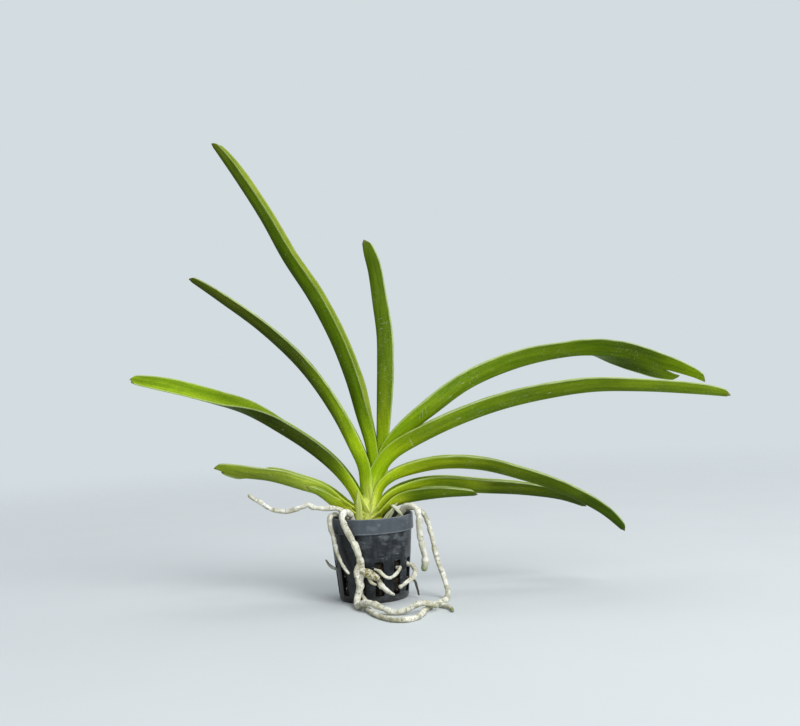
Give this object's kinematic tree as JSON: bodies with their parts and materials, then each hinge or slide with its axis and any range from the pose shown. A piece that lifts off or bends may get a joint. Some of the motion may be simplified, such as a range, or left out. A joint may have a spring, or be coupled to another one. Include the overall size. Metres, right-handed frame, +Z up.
{
  "type": "potted vanda orchid",
  "caption": "Young vanda orchid with folded strap leaves in two ranks and pale aerial roots, standing in a small round slotted nursery pot of bark.",
  "frame": {"origin": "centre of the pot's underside, on the surface it stands on", "axes": "+Z up along the pot's axis, +X along the fan of leaves to the end of the longer right rank, +Y away from the front side where the long roots lie"},
  "size_m": [0.3005, 0.0851, 0.2342],
  "materials": {
    "leaf": "waxy, satin, olive green with a pale margin",
    "young_leaf": "waxy, satin, fresh green",
    "stem": "smooth, satin, pale yellow-green",
    "root": "matt, chalky white with dirt",
    "dead_root": "matt, dry, dark",
    "pot": "dusty, scuffed, blue-black",
    "bark": "rough, damp, dark"
  },
  "bodies": {
    "root": {"stem": "stem", "leaf_c1": "young_leaf", "leaf_r1": "leaf", "leaf_l1": "leaf", "leaf_r2": "leaf", "leaf_l2": "leaf", "leaf_r3": "leaf", "leaf_l3": "leaf", "leaf_r4": "leaf", "leaf_l4": "leaf", "leaf_r5": "leaf", "leaf_l5": "leaf", "root_a": "root", "root_b": "root", "root_c": "root", "root_d": "root", "root_e": "root", "root_f": "root", "root_g": "root", "root_h": "root", "root_dead": "dead_root", "root_tip": "root", "pot": "pot", "medium": "bark"}
  },
  "joints": []
}
